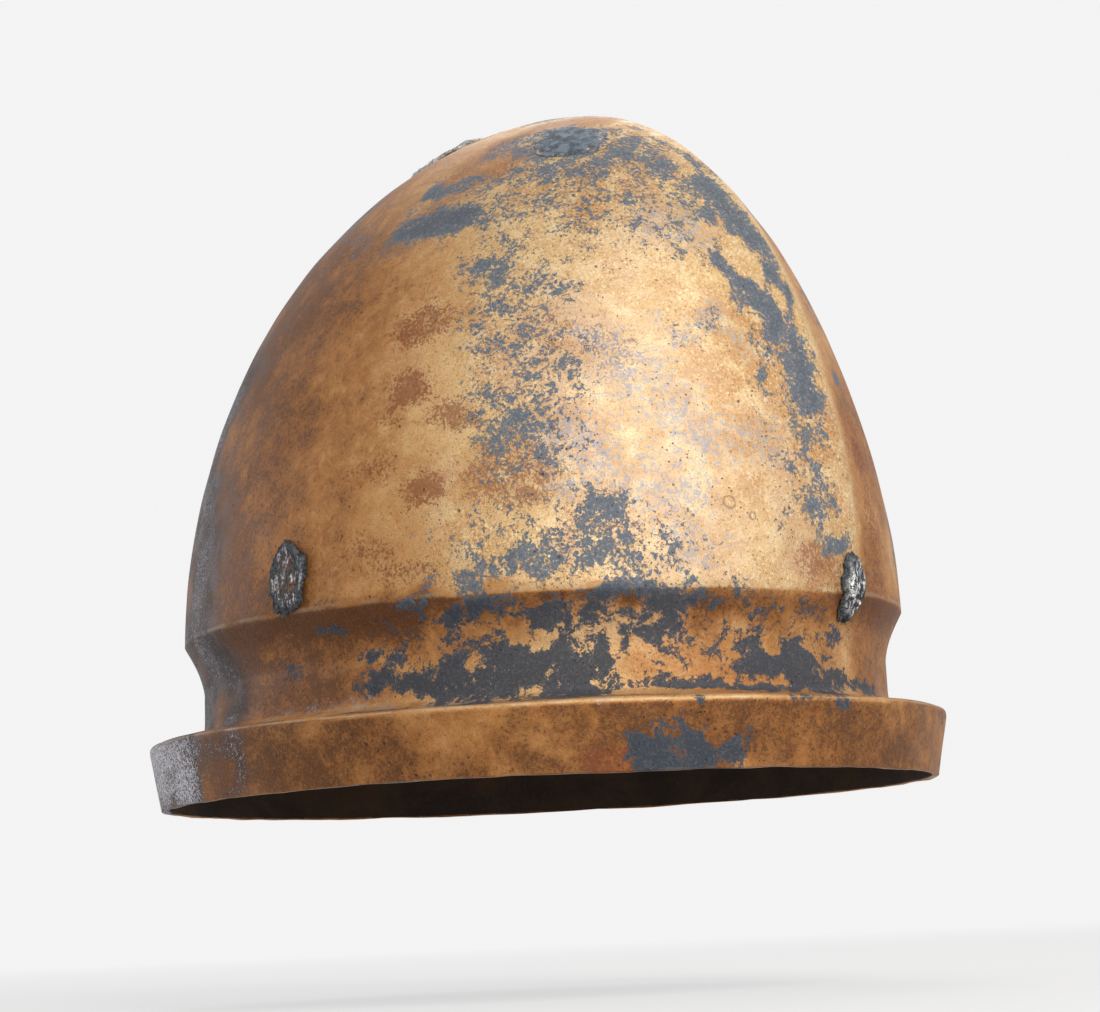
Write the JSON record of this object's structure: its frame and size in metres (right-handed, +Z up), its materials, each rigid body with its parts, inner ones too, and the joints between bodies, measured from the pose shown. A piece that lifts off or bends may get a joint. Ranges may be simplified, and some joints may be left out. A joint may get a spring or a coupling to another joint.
{
  "type": "negau helmet",
  "caption": "Bronze helmet with an egg-shaped keeled dome, a sharp crease and hollow neck below it, and a flat brim with an upright band, pierced lining ring inside.",
  "frame": {"origin": "centre of the helmet's length and width, on the plane of the brim's lower edge", "axes": "+Z up to the crown, -Y to the front, -X to the wearer's right, keel in the plane X = 0"},
  "size_m": [0.2354, 0.2514, 0.2152],
  "materials": {
    "bowl_bronze": "raised bronze with a worn golden-brown patina, slate-blue flaking patina and red-brown blotches",
    "ring_bronze": "dark brown unpolished bronze sheet",
    "solder": "grey corroded soft solder with bright worn spots",
    "slate_film": "dull slate-grey film of old solder"
  },
  "bodies": {
    "root": {"helmet_bowl": "bowl_bronze", "lining_ring": "ring_bronze", "ring_solder_tack_1": "solder", "ring_solder_tack_2": "solder", "ring_solder_tack_3": "solder", "ring_solder_tack_4": "solder", "ring_solder_tack_5": "solder", "ring_solder_tack_6": "solder", "front_solder": "solder", "back_solder": "solder", "left_solder": "solder", "right_solder": "solder", "crest_rear_solder": "solder", "crest_foot_film": "slate_film"}
  },
  "joints": []
}
